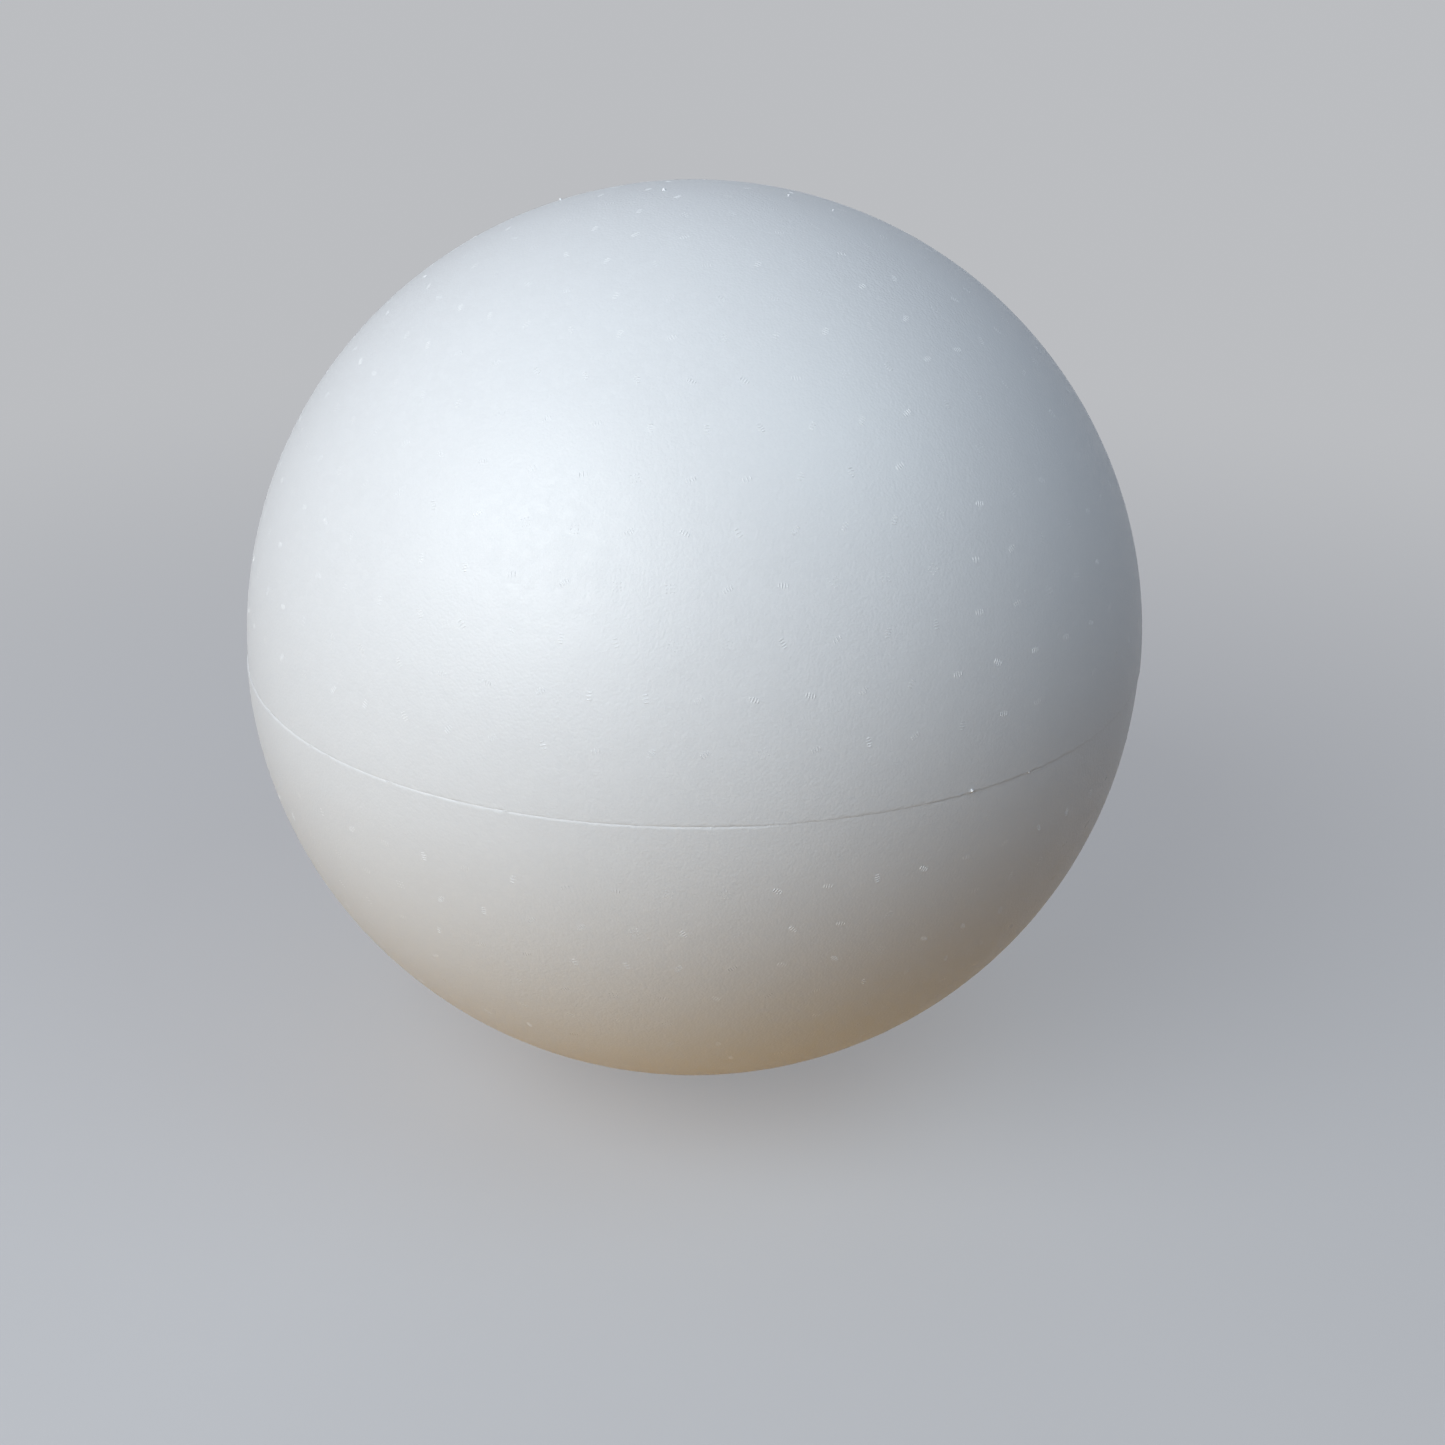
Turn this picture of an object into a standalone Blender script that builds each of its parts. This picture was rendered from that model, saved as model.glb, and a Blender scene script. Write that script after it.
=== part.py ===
# Hollow polystyrene craft ball: two moulded half shells pushed together at a stepped rim.
# The origin is the ball's centre and +Z is the axis that both halves were moulded about.
# Lengths are in metres.

import math

import bmesh
import bpy
from mathutils import Vector

# Driving dimensions
BALL_DIAMETER = 0.400
WALL_THICKNESS = 0.030
TONGUE_HEIGHT = 0.012       # how far the lower half's tongue stands above its rim
MOULD_DRAFT_DEG = 3.0       # slope of the tongue's and the socket's walls
RIM_GAP = 0.0003            # left between the two rim faces, which touch on the real ball
SOCKET_HEADROOM = 0.0008    # free height over the tongue, so that the outer rims close first
SEAT_SHIFT = 0.00075        # how far the upper half sits to one side of the lower
SIDE_CLEARANCE = 0.0003     # left beside the tongue on the side that the shift closes
LIP_RADIUS = 0.0008         # rounding of both outer rim edges: together they make the seam's groove
TONGUE_EDGE_RADIUS = 0.0020

# Facets
ROUND_SEGMENTS = 72
OUTER_ROWS = 20
INNER_ROWS = 11
EDGE_ROWS = 3               # rows in each rounded edge
SHARP_ANGLE_DEG = 40.0

# Foam colour, roughness and metallic value
FOAM_COLOUR = (0.84, 0.85, 0.86, 1.0)
FOAM_ROUGHNESS = 0.62
FOAM_METALLIC = 0.0

# Sizes that follow from them
outer_radius = BALL_DIAMETER / 2
inner_radius = outer_radius - WALL_THICKNESS
rim_height = RIM_GAP / 2                                # each rim face's distance from the ball's centre plane
side_play = SEAT_SHIFT + SIDE_CLEARANCE                 # all round, when the halves are concentric
tongue_root_radius = (outer_radius + inner_radius - side_play) / 2
socket_mouth_radius = tongue_root_radius + side_play
draft = math.tan(math.radians(MOULD_DRAFT_DEG))
weld_distance = RIM_GAP / 100                           # points nearer than this are one


def arc(centre, radius, start_deg, end_deg, steps):
    """Points along an arc in the (radius, height) plane, both ends included."""
    points = []
    for step in range(steps + 1):
        angle = math.radians(start_deg + (end_deg - start_deg) * step / steps)
        points.append((centre[0] + radius * math.cos(angle), centre[1] + radius * math.sin(angle)))
    return points


def outer_skin_and_lip():
    """A half's outer skin from its pole at (0, -outer_radius) to the inner end of its rounded lip."""
    lip_drop = rim_height + LIP_RADIUS
    lip_centre = (math.sqrt((outer_radius - LIP_RADIUS) ** 2 - lip_drop ** 2), -lip_drop)
    tangent_deg = -math.degrees(math.asin(lip_drop / (outer_radius - LIP_RADIUS)))
    skin = arc((0, 0), outer_radius, -90, tangent_deg, OUTER_ROWS)
    lip = arc(lip_centre, LIP_RADIUS, tangent_deg, 90, EDGE_ROWS)
    return skin + lip[1:]


def inner_skin(start_height, inside_radius=inner_radius):
    """A half's inner skin from start_height below the centre plane to its pole."""
    start_deg = -math.degrees(math.asin(start_height / inside_radius))
    return arc((0, 0), inside_radius, start_deg, -90, INNER_ROWS)


def lower_profile():
    """Outline of the lower half, from its outer pole round the tongue to its inner pole."""
    top = TONGUE_HEIGHT - rim_height
    outer_wall_top = tongue_root_radius - draft * TONGUE_HEIGHT
    inner_wall_top = inner_radius + draft * top
    rounded_edge = arc((outer_wall_top - TONGUE_EDGE_RADIUS, top - TONGUE_EDGE_RADIUS),
                       TONGUE_EDGE_RADIUS, 0, 90, EDGE_ROWS)
    root = (tongue_root_radius, -rim_height)
    return outer_skin_and_lip() + [root] + rounded_edge + [(inner_wall_top, top)] + inner_skin(0)


def upper_profile():
    """Outline of the upper half, drawn upside down like the lower one and turned over afterwards."""
    socket_depth = TONGUE_HEIGHT - rim_height + SOCKET_HEADROOM
    socket_end_radius = socket_mouth_radius - draft * (socket_depth - rim_height)
    mouth = (socket_mouth_radius, -rim_height)
    end = (socket_end_radius, -socket_depth)
    return outer_skin_and_lip() + [mouth, end] + inner_skin(socket_depth)


def turned_mesh(name, profile, upside_down):
    """Closed shell made by turning the profile once round the Z axis."""
    shell = bmesh.new()
    points = [shell.verts.new((radius if radius > weld_distance else 0, 0, height)) for radius, height in profile]
    edges = [shell.edges.new(pair) for pair in zip(points, points[1:])]
    bmesh.ops.spin(shell, geom=points + edges, cent=(0, 0, 0), axis=(0, 0, 1),
                   angle=math.tau, steps=ROUND_SEGMENTS, use_merge=True)
    bmesh.ops.remove_doubles(shell, verts=shell.verts, dist=weld_distance)
    if upside_down:
        bmesh.ops.scale(shell, vec=Vector((1, 1, -1)), verts=shell.verts)
    bmesh.ops.recalc_face_normals(shell, faces=shell.faces)
    mesh = bpy.data.meshes.new(name)
    shell.to_mesh(mesh)
    shell.free()
    mesh.shade_smooth()
    mesh.set_sharp_from_angle(angle=math.radians(SHARP_ANGLE_DEG))
    return mesh


def foam_material(name):
    """White expanded polystyrene."""
    material = bpy.data.materials.new(name)
    material.use_nodes = True
    surface = material.node_tree.nodes["Principled BSDF"]
    surface.inputs["Base Color"].default_value = FOAM_COLOUR
    surface.inputs["Roughness"].default_value = FOAM_ROUGHNESS
    surface.inputs["Metallic"].default_value = FOAM_METALLIC
    return material


def add_half(name, profile, upside_down, sideways):
    """One half shell as an object, moved off the ball's axis by its share of the seat shift."""
    mesh = turned_mesh(name, profile, upside_down)
    mesh.materials.append(foam_material(name + "_foam"))
    half = bpy.data.objects.new(name, mesh)
    half.location.x = sideways
    bpy.context.scene.collection.objects.link(half)
    return half


for item in list(bpy.data.objects):
    bpy.data.objects.remove(item, do_unlink=True)

add_half("lower_half", lower_profile(), upside_down=False, sideways=-SEAT_SHIFT / 2)
add_half("upper_half", upper_profile(), upside_down=True, sideways=SEAT_SHIFT / 2)
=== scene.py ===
# Polystyrene ball: the finish of its two foam halves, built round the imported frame.
# Lengths are in metres, angles in degrees. The origin is the ball's centre, +Z its moulding axis and
# -Y the side towards the camera.
import math
import random

import bmesh
import bpy
from mathutils import Matrix, Vector, noise


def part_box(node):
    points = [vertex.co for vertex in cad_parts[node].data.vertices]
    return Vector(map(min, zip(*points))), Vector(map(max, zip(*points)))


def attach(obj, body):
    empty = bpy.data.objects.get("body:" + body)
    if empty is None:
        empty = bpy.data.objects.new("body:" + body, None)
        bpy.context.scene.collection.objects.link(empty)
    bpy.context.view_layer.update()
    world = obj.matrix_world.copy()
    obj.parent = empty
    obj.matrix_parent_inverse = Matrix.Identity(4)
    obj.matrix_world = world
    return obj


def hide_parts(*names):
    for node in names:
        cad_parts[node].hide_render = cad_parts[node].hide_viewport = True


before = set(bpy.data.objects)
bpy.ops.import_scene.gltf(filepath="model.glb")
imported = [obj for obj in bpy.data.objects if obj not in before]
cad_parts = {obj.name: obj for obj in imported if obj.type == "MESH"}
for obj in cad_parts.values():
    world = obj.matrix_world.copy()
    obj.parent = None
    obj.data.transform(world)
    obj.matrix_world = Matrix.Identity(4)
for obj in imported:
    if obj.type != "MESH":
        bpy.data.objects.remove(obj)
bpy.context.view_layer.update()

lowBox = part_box("lower_half")
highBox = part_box("upper_half")
ballRadius = (highBox[1].z - lowBox[0].z) / 2
sharpAngle = 32         # degrees past which a smooth piece keeps its edge
weldDistance = 1e-6


# point at a latitude and longitude in degrees; longitude 0 faces the camera and grows to its right
def polar(radius, latitude, longitude):
    lat, lon = math.radians(latitude), math.radians(longitude)
    return Vector((radius * math.cos(lat) * math.sin(lon), -radius * math.cos(lat) * math.cos(lon),
                   radius * math.sin(lat)))


# points of an arc in the (radius, height) plane
def arcPoints(centre, radius, startDeg, endDeg, steps):
    angles = [math.radians(startDeg + (endDeg - startDeg) * i / steps) for i in range(steps + 1)]
    return [(centre[0] + radius * math.cos(a), centre[1] + radius * math.sin(a)) for a in angles]


# a finished mesh object that rides on the ball
def newPiece(name, bm, material, smooth=True):
    mesh = bpy.data.meshes.new(name)
    bm.to_mesh(mesh)
    bm.free()
    if smooth:
        mesh.shade_smooth()
        mesh.set_sharp_from_angle(angle=math.radians(sharpAngle))
    mesh.materials.append(material)
    piece = bpy.data.objects.new(name, mesh)
    bpy.context.scene.collection.objects.link(piece)
    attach(piece, "root")
    return piece


def addNode(tree, kind, **values):
    node = tree.nodes.new(kind)
    for key, value in values.items():
        setattr(node, key, value)
    return node


# sets an input socket to a number or colour, or links another node's output to it
def feed(tree, value, socket):
    if isinstance(value, bpy.types.NodeSocket):
        tree.links.new(value, socket)
    else:
        socket.default_value = value


def mathNode(tree, operation, *values, clamp=False):
    node = addNode(tree, "ShaderNodeMath", operation=operation, use_clamp=clamp)
    for value, socket in zip(values, node.inputs):
        feed(tree, value, socket)
    return node.outputs[0]


def mapRange(tree, value, low, high, toLow=0.0, toHigh=1.0, smooth=False):
    node = addNode(tree, "ShaderNodeMapRange", interpolation_type="SMOOTHSTEP" if smooth else "LINEAR")
    for label, number in (("Value", value), ("From Min", low), ("From Max", high), ("To Min", toLow),
                          ("To Max", toHigh)):
        feed(tree, number, node.inputs[label])
    return node.outputs["Result"]


def mixColour(tree, factor, first, second):
    node = addNode(tree, "ShaderNodeMix", data_type="RGBA")
    for value, index in ((factor, 0), (first, 6), (second, 7)):
        feed(tree, value, node.inputs[index])
    return node.outputs[2]


def noiseAt(tree, place, size, detail):
    node = addNode(tree, "ShaderNodeTexNoise", noise_dimensions="3D")
    feed(tree, place, node.inputs["Vector"])
    node.inputs["Scale"].default_value = 1 / size
    node.inputs["Detail"].default_value = detail
    return node.outputs["Fac"]


def bumpFrom(tree, height, depth, under=None, invert=False):
    node = addNode(tree, "ShaderNodeBump", invert=invert)
    node.inputs["Distance"].default_value = depth
    feed(tree, height, node.inputs["Height"])
    if under:
        feed(tree, under, node.inputs["Normal"])
    return node.outputs["Normal"]


beadShape = {  # in bead sizes
    "lineWidth": 0.22,          # of the line between two beads
    "domeWidth": 0.5,           # from a bead's edge to its flat middle
    "heightSpread": 0.4,        # how much single beads differ in height
}


# expanded beads: cells pressed flat, each with its own tone and height, and the lines between them
def makeBeadGroup():
    tree = bpy.data.node_groups.new("beadCells", "ShaderNodeTree")
    tree.interface.new_socket(name="Vector", in_out="INPUT", socket_type="NodeSocketVector")
    size = tree.interface.new_socket(name="Bead Size", in_out="INPUT", socket_type="NodeSocketFloat")
    size.default_value = foam["beadSize"]
    for label in ("Line", "Height", "Tone"):
        tree.interface.new_socket(name=label, in_out="OUTPUT", socket_type="NodeSocketFloat")
    source, result = tree.nodes.new("NodeGroupInput"), tree.nodes.new("NodeGroupOutput")
    scale = mathNode(tree, "DIVIDE", 1.0, source.outputs["Bead Size"])
    edge = addNode(tree, "ShaderNodeTexVoronoi", feature="DISTANCE_TO_EDGE")
    cell = addNode(tree, "ShaderNodeTexVoronoi", feature="F1")
    for voronoi in (edge, cell):
        tree.links.new(source.outputs["Vector"], voronoi.inputs["Vector"])
        tree.links.new(scale, voronoi.inputs["Scale"])
    line = mapRange(tree, edge.outputs["Distance"], 0.0, beadShape["lineWidth"], 1.0, 0.0, smooth=True)
    dome = mapRange(tree, edge.outputs["Distance"], 0.0, beadShape["domeWidth"], 0.0, 1.0, smooth=True)
    split = addNode(tree, "ShaderNodeSeparateColor")
    tree.links.new(cell.outputs["Color"], split.inputs["Color"])
    height = mathNode(tree, "MULTIPLY_ADD", split.outputs["Green"], beadShape["heightSpread"], dome)
    tree.links.new(line, result.inputs["Line"])
    tree.links.new(height, result.inputs["Height"])
    tree.links.new(split.outputs["Red"], result.inputs["Tone"])
    return tree


foam = {
    "colour": (0.870, 0.880, 0.890, 1.0),
    "lineColour": (0.864, 0.874, 0.885, 1.0),     # between beads
    "ribPaintedHighlightColour": (0.914, 0.922, 0.930, 1.0),      # of the vent marks, lighter than the foam: a painted highlight on the ribs
    "speckle": 0.04,            # how far the fine grain changes the brightness
    "toneSpread": 0.006,        # how much single beads differ in brightness
    "cloudSpread": 0.010,       # and wide soft patches
    "cloudSize": 0.045,
    "cloudRange": (0.3, 0.7),   # of the noise that is stretched over the patches
    "noiseDetail": 2.0,
    "roughness": 0.46,
    "roughnessSpread": 0.08,
    "beadSize": 0.0030,
    "beadDepth": 0.000020,      # this and the depths below are heights that the bumps stand for
    "pebbleSize": 0.0012,
    "pebbleDepth": 0.000060,
    "grainSize": 0.0006,
    "grainDepth": 0.000037,
    "ribRelief": 0.3,           # share of these depths on the vent marks
    "ior": 1.59,
}


# white bead foam: satin skin with a fine pebbled grain, its beads just told apart
def makeFoam(name, beadGroup, colour, lineColour, reliefShare):
    material = bpy.data.materials.new(name)
    material.use_nodes = True
    tree = material.node_tree
    surface = tree.nodes["Principled BSDF"]
    place = addNode(tree, "ShaderNodeTexCoord").outputs["Object"]
    beads = addNode(tree, "ShaderNodeGroup", node_tree=beadGroup)
    beads.inputs["Bead Size"].default_value = foam["beadSize"]
    tree.links.new(place, beads.inputs["Vector"])

    tint = mixColour(tree, beads.outputs["Line"], colour, lineColour)
    beadTone = mapRange(tree, beads.outputs["Tone"], 0.0, 1.0, -foam["toneSpread"], foam["toneSpread"])
    patches = noiseAt(tree, place, foam["cloudSize"], foam["noiseDetail"])
    cloud = mapRange(tree, patches, *foam["cloudRange"], 1 - foam["cloudSpread"], 1.0)
    grain = noiseAt(tree, place, foam["grainSize"], foam["noiseDetail"])
    speckle = mapRange(tree, grain, 0.0, 1.0, -foam["speckle"] / 2, foam["speckle"] / 2)
    brightness = mathNode(tree, "ADD", mathNode(tree, "ADD", beadTone, speckle), cloud)
    tone = addNode(tree, "ShaderNodeHueSaturation")
    tree.links.new(tint, tone.inputs["Color"])
    tree.links.new(brightness, tone.inputs["Value"])
    tree.links.new(tone.outputs["Color"], surface.inputs["Base Color"])

    sheen = mapRange(tree, beads.outputs["Tone"], 0.0, 1.0, foam["roughness"] - foam["roughnessSpread"],
                     foam["roughness"] + foam["roughnessSpread"])
    tree.links.new(sheen, surface.inputs["Roughness"])

    pebbles = addNode(tree, "ShaderNodeTexVoronoi", feature="F1")
    tree.links.new(place, pebbles.inputs["Vector"])
    pebbles.inputs["Scale"].default_value = 1 / foam["pebbleSize"]
    fine = bumpFrom(tree, grain, foam["grainDepth"] * reliefShare)
    rounds = bumpFrom(tree, pebbles.outputs["Distance"], foam["pebbleDepth"] * reliefShare, fine,
                      invert=True)
    cells = bumpFrom(tree, beads.outputs["Height"], foam["beadDepth"] * reliefShare, rounds)
    tree.links.new(cells, surface.inputs["Normal"])

    surface.inputs["Metallic"].default_value = 0.0
    surface.inputs["IOR"].default_value = foam["ior"]
    return material


# The foam skin

ball = {
    "wall": 0.030,              # shell thickness
    "tongueHeight": 0.012,      # the lower half's tongue above its rim
    "draft": 0.0524,            # slope of the tongue's and the socket's walls
    "sidePlay": 0.00105,        # between tongue and socket
    "headroom": 0.0008,         # over the tongue
    "rimGap": 0.00006,          # between the closed rim faces
    "skinLevels": 8,            # icosphere subdivisions of the outer skin
    "innerSegments": 72,
    "innerRows": 14,
}

relief = {
    "swellSize": 0.014,
    "swellHeight": 0.00005,
    "beadSize": 0.0048,
    "beadHeight": 0.00003,
    "dipWidth": 0.5,            # in bead sizes
    "level": 0.6,               # of a bead's height, where the true sphere runs
}

rims = {  # the rounded outer edges of both rims, with the seam's groove between them
    # reach is the height of the rounding, turn how far round it goes, shares how full it is by longitude
    "lower": {"reach": 0.0012, "turn": 40,
              "shares": ((-180, 0.5), (-68, 0.7), (-55, 0.75), (-30, 0.6), (-12, 0.55), (8, 0.6),
                         (12, 0.05), (70, 0.0), (90, 0.3), (180, 0.5))},
    "upper": {"reach": 0.0010, "turn": 40,
              "shares": ((-180, 0.5), (-60, 0.22), (-12, 0.2), (-4, 0.28), (6, 0.32), (12, 0.2),
                         (30, 0.28), (70, 0.25), (90, 0.3), (180, 0.5))},
    "rows": 5,
    "cuts": 1,                  # points added between two points of the skin's edge
    "waveSize": 0.0042,
    "waveDepth": 0.00014,
    "waveApart": 0.02,          # keeps the two rims' waves from matching
    # longitude and half-width where a bead bridges the groove
    "bridges": ((-50.2, 0.0009), (-46.8, 0.0016), (-36.0, 0.0016), (-20.7, 0.0012), (2.0, 0.0004),
                (8.2, 0.0004), (10.3, 0.0012)),
    "bridged": 0.9,             # share of the rim gap that it closes
    "moreBridges": 22,          # round the rest of the seam
    "moreSpan": (70, 290),      # longitudes
    "moreWidth": (0.0006, 0.0014),
    "seed": 7,
    # longitude and share of the step between the halves that is smoothed away there
    "settled": ((-180, 0), (-85, 0), (-68, 0.65), (-58, 0.55), (-46, 0.8), (-28, 0.8), (-12, 0.7),
                (0, 0.5), (12, 0.1), (20, 0.3), (28, 0.35), (38, 0.5), (62, 0.62), (75, 0.4), (88, 0),
                (180, 0)),
    "settledReach": 0.022,      # how far from the seam it is smoothed
}


# height of the skin over a true sphere: slow swells, and beads parted by shallow dips
def reliefAt(point):
    swell = noise.noise(point / relief["swellSize"]) * relief["swellHeight"]
    distances = noise.voronoi(point / relief["beadSize"])[0]
    bead = min(1.0, (distances[1] - distances[0]) / relief["dipWidth"]) - relief["level"]
    return swell + bead * relief["beadHeight"]


# value at an angle from (angle, value) pairs, blended between them
def valueAt(pairs, angle):
    for (start, low), (end, high) in zip(pairs, pairs[1:]):
        if angle <= end:
            return low + (high - low) * max(0.0, angle - start) / (end - start)
    return pairs[-1][1]


# how fully a bead bridges the seam at a longitude
def bridgedShare(longitude, bridges):
    share = 0
    for place, width in bridges:
        aside = math.radians((longitude - place + 180) % 360 - 180) * ballRadius
        share = max(share, math.exp(-(aside / width) ** 4))
    return share


# how far a half's skin leans towards the other half's near the seam
def settledBy(point, centreX):
    rise = max(0.0, 1 - abs(point.z) / rims["settledReach"])
    if rise == 0:
        return 0.0
    flat = Vector((point.x, point.y, 0)).normalized()
    share = valueAt(rims["settled"], math.degrees(math.atan2(flat.x, -flat.y)))
    return -centreX * flat.x * share * rise * rise * (3 - 2 * rise)


# (radius, height) outline from the rim face's inner end, round the tongue or socket, to the inner pole;
# both are drawn as if the half lay below the seam
def innerProfile(isLower):
    inside = ballRadius - ball["wall"]
    root = (ballRadius + inside - ball["sidePlay"]) / 2
    face = -ball["rimGap"] / 2
    if isLower:
        top = ball["tongueHeight"]
        rise = [(root, face), (root - ball["draft"] * top, top), (inside + ball["draft"] * top, top)]
        start = 0.0
    else:
        depth = ball["tongueHeight"] + ball["headroom"]
        mouth = root + ball["sidePlay"]
        rise = [(mouth, face), (mouth - ball["draft"] * depth, -depth)]
        start = -math.degrees(math.asin(depth / inside))
    return rise + arcPoints((0, 0), inside, start, -90, ball["innerRows"])


# one closed half shell: a bead-textured outer skin, a rounded rim edge and the turned inside
def makeHalf(name, isLower, centreX, material):
    side = -1 if isLower else 1
    rim = rims["lower" if isLower else "upper"]
    face = ball["rimGap"] / 2
    edgeRadius = rim["reach"] / math.sin(math.radians(rim["turn"]))
    startDeg = math.degrees(math.asin((face + rim["reach"]) / (ballRadius - edgeRadius)))
    edgeCentre = [(ballRadius - edgeRadius) * share for share in
                  (math.cos(math.radians(startDeg)), math.sin(math.radians(startDeg)))]
    centre = Vector((centreX, 0, 0))

    bm = bmesh.new()
    bmesh.ops.create_icosphere(bm, subdivisions=ball["skinLevels"], radius=ballRadius)
    everything = bm.verts[:] + bm.edges[:] + bm.faces[:]
    cut = Vector((0, 0, side * ballRadius * math.sin(math.radians(startDeg))))
    bmesh.ops.bisect_plane(bm, geom=everything, dist=weldDistance / 10, plane_co=cut,
                           plane_no=(0, 0, -side), clear_outer=True)
    ring = [edge for edge in bm.edges if edge.is_boundary]
    bmesh.ops.subdivide_edges(bm, edges=ring, cuts=rims["cuts"])
    for vert in bm.verts:
        vert.co *= 1 + (reliefAt(vert.co + centre) + settledBy(vert.co, centreX)) / ballRadius

    # the rounded edge, row by row from the skin to the rim face
    chance = random.Random(rims["seed"])
    bridges = list(rims["bridges"])
    for step in range(rims["moreBridges"]):
        bridges.append((chance.uniform(*rims["moreSpan"]), chance.uniform(*rims["moreWidth"])))
    ring = [edge for edge in bm.edges if edge.is_boundary]
    profile = arcPoints(edgeCentre, edgeRadius, startDeg, -rim["turn"], rims["rows"])
    apart = Vector((0, 0, side * rims["waveApart"]))
    for row, (radius, height) in enumerate(profile[1:], 1):
        share = row / rims["rows"]
        grown = bmesh.ops.extrude_edge_only(bm, edges=ring)["geom"]
        ring = [item for item in grown if isinstance(item, bmesh.types.BMEdge)]
        for vert in [item for item in grown if isinstance(item, bmesh.types.BMVert)]:
            flat = Vector((vert.co.x, vert.co.y, 0)).normalized()
            onSkin = flat * ballRadius + centre
            wave = noise.noise((onSkin + apart) / rims["waveSize"]) * rims["waveDepth"]
            longitude = math.degrees(math.atan2(flat.x, -flat.y))
            bridged = bridgedShare(longitude, bridges)
            rounded = (profile[0][0] - radius) * valueAt(rim["shares"], longitude) + wave * share
            reach = profile[0][0] + settledBy(flat, centreX) - rounded * (1 - bridged)
            reach += reliefAt(onSkin) * (1 - share)
            lowest = face * (1 - rims["bridged"] * bridged)
            vert.co = flat * reach + Vector((0, 0, side * max(lowest, height)))

    # the inside, turned from its outline
    outline = [bm.verts.new((radius if radius > weldDistance else 0, 0, -side * height))
               for radius, height in innerProfile(isLower)]
    edges = [bm.edges.new(pair) for pair in zip(outline, outline[1:])]
    bmesh.ops.spin(bm, geom=outline + edges, cent=(0, 0, 0), axis=(0, 0, 1), angle=math.tau,
                   steps=ball["innerSegments"], use_merge=True)
    inner = [vert for vert in bm.verts if vert.co.length < ballRadius - ball["wall"] / 3]
    bmesh.ops.remove_doubles(bm, verts=inner, dist=weldDistance)
    bmesh.ops.bridge_loops(bm, edges=[edge for edge in bm.edges if edge.is_boundary])
    bmesh.ops.recalc_face_normals(bm, faces=bm.faces)
    bmesh.ops.translate(bm, vec=centre, verts=bm.verts)
    return newPiece(name, bm, material)


# Vents: rings of small round marks about the moulding axis, each a few fine ribs

vents = {
    "radius": 0.00215,
    "ribHeight": 0.00018,       # over the skin
    "ribWidth": 0.00050,
    "topShare": 0.3,            # of that width, along a rib's top
    "foot": 0.00020,            # how far the ribs reach down into the skin
    "sink": 0.00003,            # the shallowest marks lie this much lower
    "crispest": (22, 4),        # latitude and longitude where the mould printed them best
    "crispness": ((0, 1), (22, 1), (45, 0.5), (75, 0.3), (180, 0.3)),   # by the angle from there
    "roundCount": 62,           # marks that a ring at the seam would have
    "lastLatitude": 86,
    "patterns": ((4, "ridges"), (4, "ridges"), (4, "ridges"), (3, "ridges"), (3, "dots")),  # a mark has one
    "alongScatter": 0.12,       # degrees that the marks stray along their ring
    "acrossScatter": 0.08,      # and across it
    # latitude of the ring by the seam, angle from ring to ring, and a mark's longitude in the first rings
    "upper": {"first": 8.2, "pitch": 5.83, "starts": (1.2, 0.6, 3.6, 3.6, 5.3, 6.6, 9.3), "seed": 12},
    "lower": {"first": 8.5, "pitch": 5.6, "starts": (-2.5, -0.8, -1.6, 3.0, 3.7), "seed": 11},
}


def meshFrom(bm, name):
    bmesh.ops.recalc_face_normals(bm, faces=bm.faces)
    mesh = bpy.data.meshes.new(name)
    bm.to_mesh(mesh)
    bm.free()
    return mesh


# the ribs of a mark: parallel ridges, or crossed ones that leave a grid of dots
def ventRibs(count, kind):
    bm = bmesh.new()
    radius, half = vents["radius"], vents["ribWidth"] / 2
    height = vents["ribHeight"] + vents["foot"]
    pitch = 2 * radius / count
    for rib in range(count):
        y = (rib - (count - 1) / 2) * pitch
        length = math.sqrt(max(radius ** 2 - y ** 2, half ** 2))
        places = [(0, length)]
        if kind == "dots":
            places = [((dot - (count - 1) / 2) * pitch, half) for dot in range(count)]
        for x, halfLength in places:
            made = bmesh.ops.create_cone(bm, cap_ends=True, segments=4, radius1=math.sqrt(2) * half,
                                         radius2=vents["topShare"] * math.sqrt(2) * half, depth=height,
                                         matrix=Matrix.Rotation(math.radians(45), 4, "Z"))["verts"]
            bmesh.ops.scale(bm, vec=(halfLength / half, 1, 1), verts=made)
            bmesh.ops.translate(bm, vec=(x, y, vents["ribHeight"] - height / 2), verts=made)
    return meshFrom(bm, "ventRibs")


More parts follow.
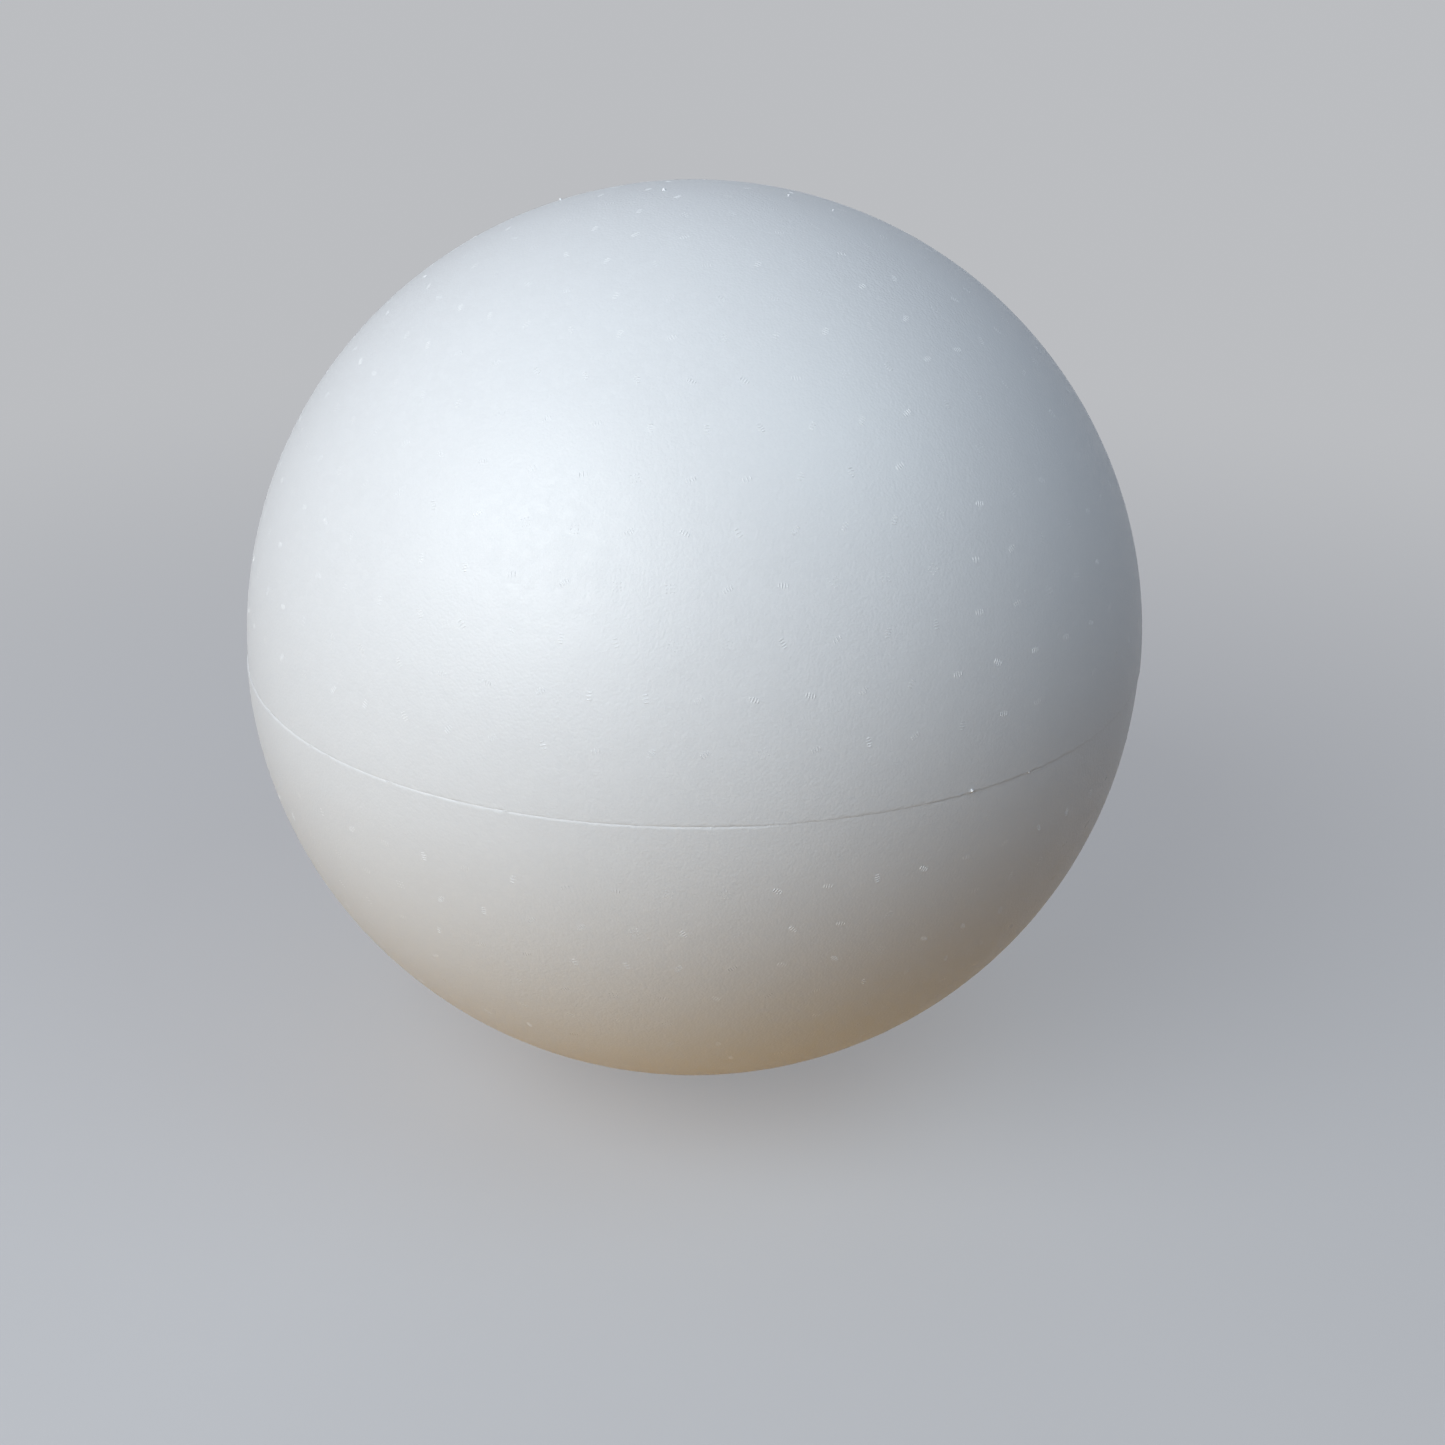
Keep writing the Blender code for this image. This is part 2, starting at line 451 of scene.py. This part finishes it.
# all the marks of one half
def makeVents(name, isLower, centreX, material):
    side = -1 if isLower else 1
    layout = vents["lower" if isLower else "upper"]
    chance = random.Random(layout["seed"])
    patterns = [ventRibs(count, kind) for count, kind in vents["patterns"]]
    crispest = polar(1, *vents["crispest"])
    centre = Vector((centreX, 0, 0))
    bm = bmesh.new()
    latitude, row = layout["first"], 0
    while latitude < vents["lastLatitude"]:
        count = max(3, round(vents["roundCount"] * math.cos(math.radians(latitude))))
        start = layout["starts"][row] if row < len(layout["starts"]) else chance.uniform(0, 360 / count)
        for step in range(count):
            longitude = start + 360 * step / count + chance.gauss(0, vents["alongScatter"])
            spot = polar(ballRadius, side * (latitude + chance.gauss(0, vents["acrossScatter"])), longitude)
            spot *= 1 + reliefAt(spot + centre) / ballRadius
            turn = spot.to_track_quat("Z", "Y").to_matrix().to_4x4()
            spin = Matrix.Rotation(chance.uniform(0, math.pi), 4, "Z")
            lower = Matrix.Translation(Vector((0, 0, -chance.uniform(0, 1) ** 2 * vents["sink"])))
            crisp = valueAt(vents["crispness"], math.degrees(spot.angle(crispest)))
            depth = Matrix.Diagonal((1, 1, crisp, 1))
            place = Matrix.Translation(spot + centre) @ turn @ depth @ lower @ spin
            first = len(bm.verts)
            bm.from_mesh(chance.choice(patterns))
            bm.verts.ensure_lookup_table()
            bmesh.ops.transform(bm, matrix=place, verts=bm.verts[first:])
        latitude += layout["pitch"]
        row += 1
    return newPiece(name, bm, material, smooth=False)


# Smooth beads that stand a little proud of the skin and catch the light; their colour is lighter than the
# foam, a painted highlight added to their real gloss

smoothBeads = {
    # latitude, longitude, radius
    "places": ((0.25, 32.1, 0.00064), (0.1, 40.9, 0.00028), (85.5, -62.8, 0.00075),
               (79.0, 89.1, 0.00055), (73.4, 82.1, 0.00045)),
    "stand": 0.45,              # share of the radius that the centre stands over the skin
    "levels": 3,                # icosphere subdivisions
    "more": 9,                  # small ones on the upper half's far side
    "moreHeights": (0.05, 0.95),        # in ball radii over the seam
    "moreSpan": (100, 300),             # longitudes
    "moreRadius": (0.0003, 0.0006),
    "seed": 21,
    # both lighter than the foam: painted highlight on top of the beads' real gloss and relief
    "colour": (0.93, 0.935, 0.94, 1.0),
    "hazeColour": (0.90, 0.91, 0.92, 1.0),
    "hazeSize": 0.0005,
    "roughness": (0.15, 0.30),
}


# a bead that has melted smooth and glossy, coloured lighter than the foam as a painted highlight
def makeSmoothBead(name):
    material = bpy.data.materials.new(name)
    material.use_nodes = True
    tree = material.node_tree
    surface = tree.nodes["Principled BSDF"]
    place = addNode(tree, "ShaderNodeTexCoord").outputs["Object"]
    haze = noiseAt(tree, place, smoothBeads["hazeSize"], 1.0)
    colour = mixColour(tree, haze, smoothBeads["colour"], smoothBeads["hazeColour"])
    tree.links.new(colour, surface.inputs["Base Color"])
    tree.links.new(mapRange(tree, haze, 0.0, 1.0, *smoothBeads["roughness"]), surface.inputs["Roughness"])
    surface.inputs["IOR"].default_value = foam["ior"]
    surface.inputs["Metallic"].default_value = 0.0
    return material


def makeSmoothBeads(name, centreX, material):
    chance = random.Random(smoothBeads["seed"])
    places = list(smoothBeads["places"])
    for step in range(smoothBeads["more"]):
        latitude = math.degrees(math.asin(chance.uniform(*smoothBeads["moreHeights"])))
        longitude = chance.uniform(*smoothBeads["moreSpan"])
        places.append((latitude, longitude, chance.uniform(*smoothBeads["moreRadius"])))
    bm = bmesh.new()
    for latitude, longitude, radius in places:
        spot = polar(ballRadius + smoothBeads["stand"] * radius, latitude, longitude)
        bmesh.ops.create_icosphere(bm, subdivisions=smoothBeads["levels"], radius=radius,
                                   matrix=Matrix.Translation(spot + Vector((centreX, 0, 0))))
    return newPiece(name, bm, material)


# Stage, camera and lamps

camera = {
    "position": (0.0, -4.559, 1.778),    # in ball radii
    "pitchDown": 23.740,
    "panRight": 0.817,
    "roll": 0.572,
    "lens": 53.36,                       # on a 36 mm sensor
}

lamps = {  # azimuth is from the camera's side, positive to the right; size is the disc's diameter
    "keyLamp": {"azimuth": -42.5, "elevation": 32, "distance": 1.6, "size": 1.60, "power": 23.2,
                "colour": (0.925, 0.970, 0.986), "inGloss": True},
    "rightLamp": {"azimuth": 58, "elevation": 54, "distance": 1.6, "size": 0.98, "power": 4.4,
                  "colour": (0.735, 0.915, 1.0), "inGloss": True},
    "backLamp": {"azimuth": 180, "elevation": 4, "distance": 2.2, "size": 0.50, "power": 11.1,
                 "colour": (0.910, 0.945, 1.0), "inGloss": False},
}

floor = {
    "size": 16.0,
    "shown": (0.30, 0.305, 0.32, 1.0),   # what the camera sees of the lamps' light near the ball
    "glow": (0.27, 0.275, 0.285, 1.0),   # and what it sees besides
    "far": (0.50, 0.51, 0.53, 1.0),      # the even stage farther off
    "farFade": (0.25, 1.3),              # distances between which both give way to it
    "nearBounce": (0.62, 0.355, 0.07, 1.0),       # what lights the ball's underside
    "farBounce": (0.266, 0.203, 0.136, 1.0),
    "bounceFade": (0.15, 0.62),
    "ambient": (0.070, 0.076, 0.119, 1.0),
    "roughness": 0.9,
}


# whether a ray is one that shows the stage, straight or in a gloss
def seenRay(tree):
    rays = addNode(tree, "ShaderNodeLightPath")
    seen = mathNode(tree, "ADD", rays.outputs["Is Camera Ray"], rays.outputs["Is Glossy Ray"])
    return mathNode(tree, "ADD", seen, rays.outputs["Is Transmission Ray"], clamp=True)


def makeFloor():
    bm = bmesh.new()
    bmesh.ops.create_grid(bm, x_segments=1, y_segments=1, size=floor["size"] / 2)
    bmesh.ops.translate(bm, vec=(0, 0, -ballRadius), verts=bm.verts)
    mesh = meshFrom(bm, "floor")
    plane = bpy.data.objects.new("floor", mesh)
    bpy.context.scene.collection.objects.link(plane)
    material = bpy.data.materials.new("paleFloor")
    material.use_nodes = True
    tree = material.node_tree
    surface = tree.nodes["Principled BSDF"]
    seen = seenRay(tree)
    away = addNode(tree, "ShaderNodeVectorMath", operation="LENGTH")
    tree.links.new(addNode(tree, "ShaderNodeTexCoord").outputs["Object"], away.inputs[0])
    farFade = mapRange(tree, away.outputs["Value"], *floor["farFade"], smooth=True)
    bounceFade = mapRange(tree, away.outputs["Value"], *floor["bounceFade"], smooth=True)
    shown = mixColour(tree, farFade, floor["shown"], (0.0, 0.0, 0.0, 1.0))
    bounce = mixColour(tree, bounceFade, floor["nearBounce"], floor["farBounce"])
    tree.links.new(mixColour(tree, seen, bounce, shown), surface.inputs["Base Color"])
    tree.links.new(mixColour(tree, farFade, floor["glow"], floor["far"]), surface.inputs["Emission Color"])
    tree.links.new(seen, surface.inputs["Emission Strength"])
    surface.inputs["Roughness"].default_value = floor["roughness"]
    surface.inputs["Specular IOR Level"].default_value = 0.0
    mesh.materials.append(material)


def makeCamera():
    data = bpy.data.cameras.new("camera")
    data.lens = camera["lens"]
    data.sensor_width = 36.0
    item = bpy.data.objects.new("camera", data)
    bpy.context.scene.collection.objects.link(item)
    aim = (Matrix.Rotation(math.radians(-camera["panRight"]), 4, "Z")
           @ Matrix.Rotation(math.radians(90 - camera["pitchDown"]), 4, "X")
           @ Matrix.Rotation(math.radians(camera["roll"]), 4, "Z"))
    item.matrix_world = Matrix.Translation(Vector(camera["position"]) * ballRadius) @ aim
    bpy.context.scene.camera = item


def makeLamps():
    for name, values in lamps.items():
        data = bpy.data.lights.new(name, "AREA")
        data.shape = "DISK"
        data.size = values["size"]
        data.energy = values["power"]
        data.color = values["colour"]
        item = bpy.data.objects.new(name, data)
        bpy.context.scene.collection.objects.link(item)
        where = polar(values["distance"], values["elevation"], values["azimuth"])
        item.location = where
        item.rotation_euler = where.to_track_quat("Z", "Y").to_euler()
        item.visible_camera = False
        item.visible_glossy = values["inGloss"]
    world = bpy.data.worlds.new("studio")
    bpy.context.scene.world = world
    world.use_nodes = True
    tree = world.node_tree
    colour = mixColour(tree, seenRay(tree), floor["ambient"], floor["far"])
    tree.links.new(colour, tree.nodes["Background"].inputs["Color"])


bpy.context.scene.view_settings.view_transform = "Standard"
makeCamera()
makeLamps()
makeFloor()
print("stage, camera and lamps are up")

beadGroup = makeBeadGroup()
foamSkin = makeFoam("beadFoam", beadGroup, foam["colour"], foam["lineColour"], 1.0)
# the vent ribs get a lighter colour than the skin, a painted highlight on them
ventRibPaintedHighlightFoam = makeFoam("ventRibPaintedHighlightFoam", beadGroup, foam["ribPaintedHighlightColour"], foam["ribPaintedHighlightColour"], foam["ribRelief"])
for node, isLower, box in (("lower_half", True, lowBox), ("upper_half", False, highBox)):
    centreX = (box[0].x + box[1].x) / 2
    shell = makeHalf(node + "_skin", isLower, centreX, foamSkin)
    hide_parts(node)
    print("made", shell.name, len(shell.data.polygons), "faces")
    marks = makeVents(node + "_vents", isLower, centreX, ventRibPaintedHighlightFoam)
    print("made", marks.name, len(marks.data.polygons), "faces")
makeSmoothBeads("smooth_beads", (highBox[0].x + highBox[1].x) / 2, makeSmoothBead("smoothBead"))
print("made the smooth beads")
